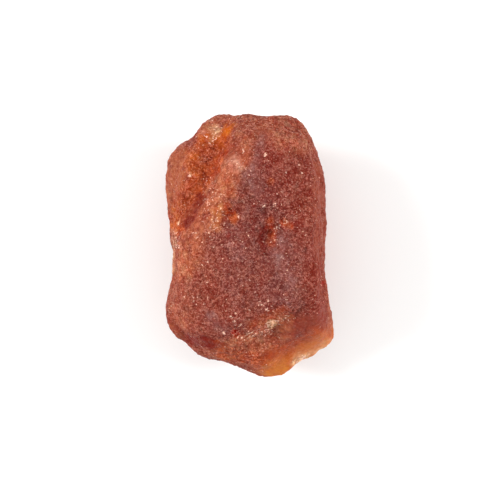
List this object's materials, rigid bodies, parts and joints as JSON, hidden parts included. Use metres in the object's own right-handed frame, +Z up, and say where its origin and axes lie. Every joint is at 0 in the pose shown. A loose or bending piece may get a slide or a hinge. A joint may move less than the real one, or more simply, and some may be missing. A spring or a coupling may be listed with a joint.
{
  "type": "rough garnet",
  "caption": "Broken, water-worn piece of rough garnet with a blunt head, a side lobe, pits and a thin chipped lip at its foot.",
  "frame": {"origin": "under the middle of the stone's box, on the ground that its flat break lies on", "axes": "+Z up from the flat break, +Y along the length from the thin foot to the blunt head, +X to the side away from the lobe"},
  "size_m": [0.011, 0.017, 0.0084],
  "materials": {
    "garnet": "fine frosted, sugary grain with glassy broken hollows"
  },
  "bodies": {
    "root": {"garnet": "garnet"}
  },
  "joints": []
}
